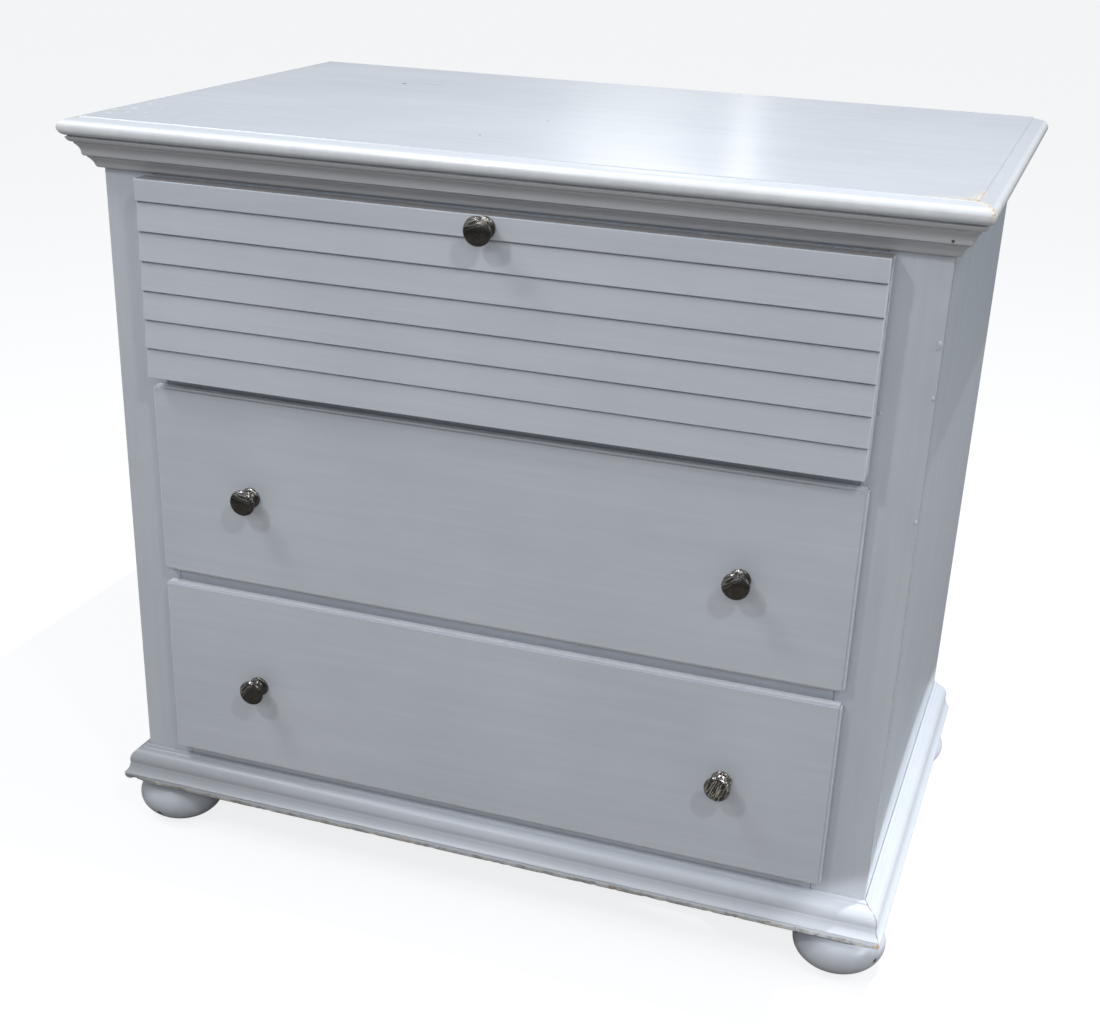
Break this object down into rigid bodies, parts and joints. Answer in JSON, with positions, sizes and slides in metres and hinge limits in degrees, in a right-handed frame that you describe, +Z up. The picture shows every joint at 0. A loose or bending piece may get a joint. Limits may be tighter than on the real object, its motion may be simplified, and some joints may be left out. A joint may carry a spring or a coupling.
{
  "type": "chest of drawers",
  "caption": "Painted chest on bun feet with a louvred drop-front compartment above full-width overlay drawers, moulded top, crown and base, and round metal knobs.",
  "frame": {"origin": "centre of the bounding box on the floor, under the chest", "axes": "+Z up, the front faces -Y, +X to the right of someone facing the front"},
  "size_m": [0.968, 0.6302, 0.8664],
  "materials": {
    "painted_wood": "satin pale blue-grey paint over wood, brushed on, worn at the corners",
    "bare_wood": "unpainted sanded wood",
    "pewter": "dark brushed pewter",
    "steel": "zinc-plated steel"
  },
  "bodies": {
    "carcass": {"top_panel": "painted_wood", "crown_front": "painted_wood", "crown_left": "painted_wood", "crown_right": "painted_wood", "base_moulding_front": "painted_wood", "base_moulding_left": "painted_wood", "base_moulding_right": "painted_wood", "stile_left": "painted_wood", "stile_right": "painted_wood", "side_left": "painted_wood", "side_right": "painted_wood", "rail_top": "painted_wood", "rail_upper": "painted_wood", "rail_middle": "painted_wood", "rail_bottom": "painted_wood", "back_panel": "bare_wood", "compartment_floor": "painted_wood", "bottom_panel": "bare_wood", "liner_left": "painted_wood", "liner_right": "painted_wood", "runner_upper_left": "bare_wood", "runner_upper_right": "bare_wood", "runner_lower_left": "bare_wood", "runner_lower_right": "bare_wood", "foot_front_left": "painted_wood", "foot_front_right": "painted_wood", "foot_rear_left": "painted_wood", "foot_rear_right": "painted_wood", "hinge_left_bracket": "steel", "hinge_right_bracket": "steel", "stay_stud": "steel", "catch_magnet": "steel"},
    "drawer_upper": {"drawer_upper_front": "painted_wood", "drawer_upper_side_left": "bare_wood", "drawer_upper_side_right": "bare_wood", "drawer_upper_back": "bare_wood", "drawer_upper_bottom": "bare_wood", "drawer_upper_knob_left": "pewter", "drawer_upper_knob_right": "pewter", "drawer_upper_screw_left": "steel", "drawer_upper_screw_right": "steel"},
    "drawer_lower": {"drawer_lower_front": "painted_wood", "drawer_lower_side_left": "bare_wood", "drawer_lower_side_right": "bare_wood", "drawer_lower_back": "bare_wood", "drawer_lower_bottom": "bare_wood", "drawer_lower_knob_left": "pewter", "drawer_lower_knob_right": "pewter", "drawer_lower_screw_left": "steel", "drawer_lower_screw_right": "steel"},
    "flap": {"flap_panel": "painted_wood", "flap_knob": "pewter", "flap_screw": "steel", "hinge_left_leaf": "steel", "hinge_right_leaf": "steel", "stay_bracket": "steel", "catch_strike": "steel"},
    "stay": {"stay_arm": "steel"}
  },
  "joints": [
    {"name": "drawer_upper_slide", "type": "slide", "parent": "carcass", "child": "drawer_upper", "axis": [0, -1, 0], "range_m": [0, 0.36]},
    {"name": "drawer_lower_slide", "type": "slide", "parent": "carcass", "child": "drawer_lower", "axis": [0, -1, 0], "range_m": [0, 0.36]},
    {"name": "flap_hinge", "type": "hinge", "parent": "carcass", "child": "flap", "pos_m": [0, -0.27385, 0.598], "axis": [1, 0, 0], "range_deg": [0, 90]},
    {"name": "stay_pivot", "type": "hinge", "parent": "flap", "child": "stay", "pos_m": [0.383, -0.25486, 0.7266], "axis": [1, 0, 0], "range_deg": [-45, 0]}
  ],
  "couplings": [
    {"joint": "stay_pivot", "follows": "flap_hinge", "ratio": -0.5}
  ]
}
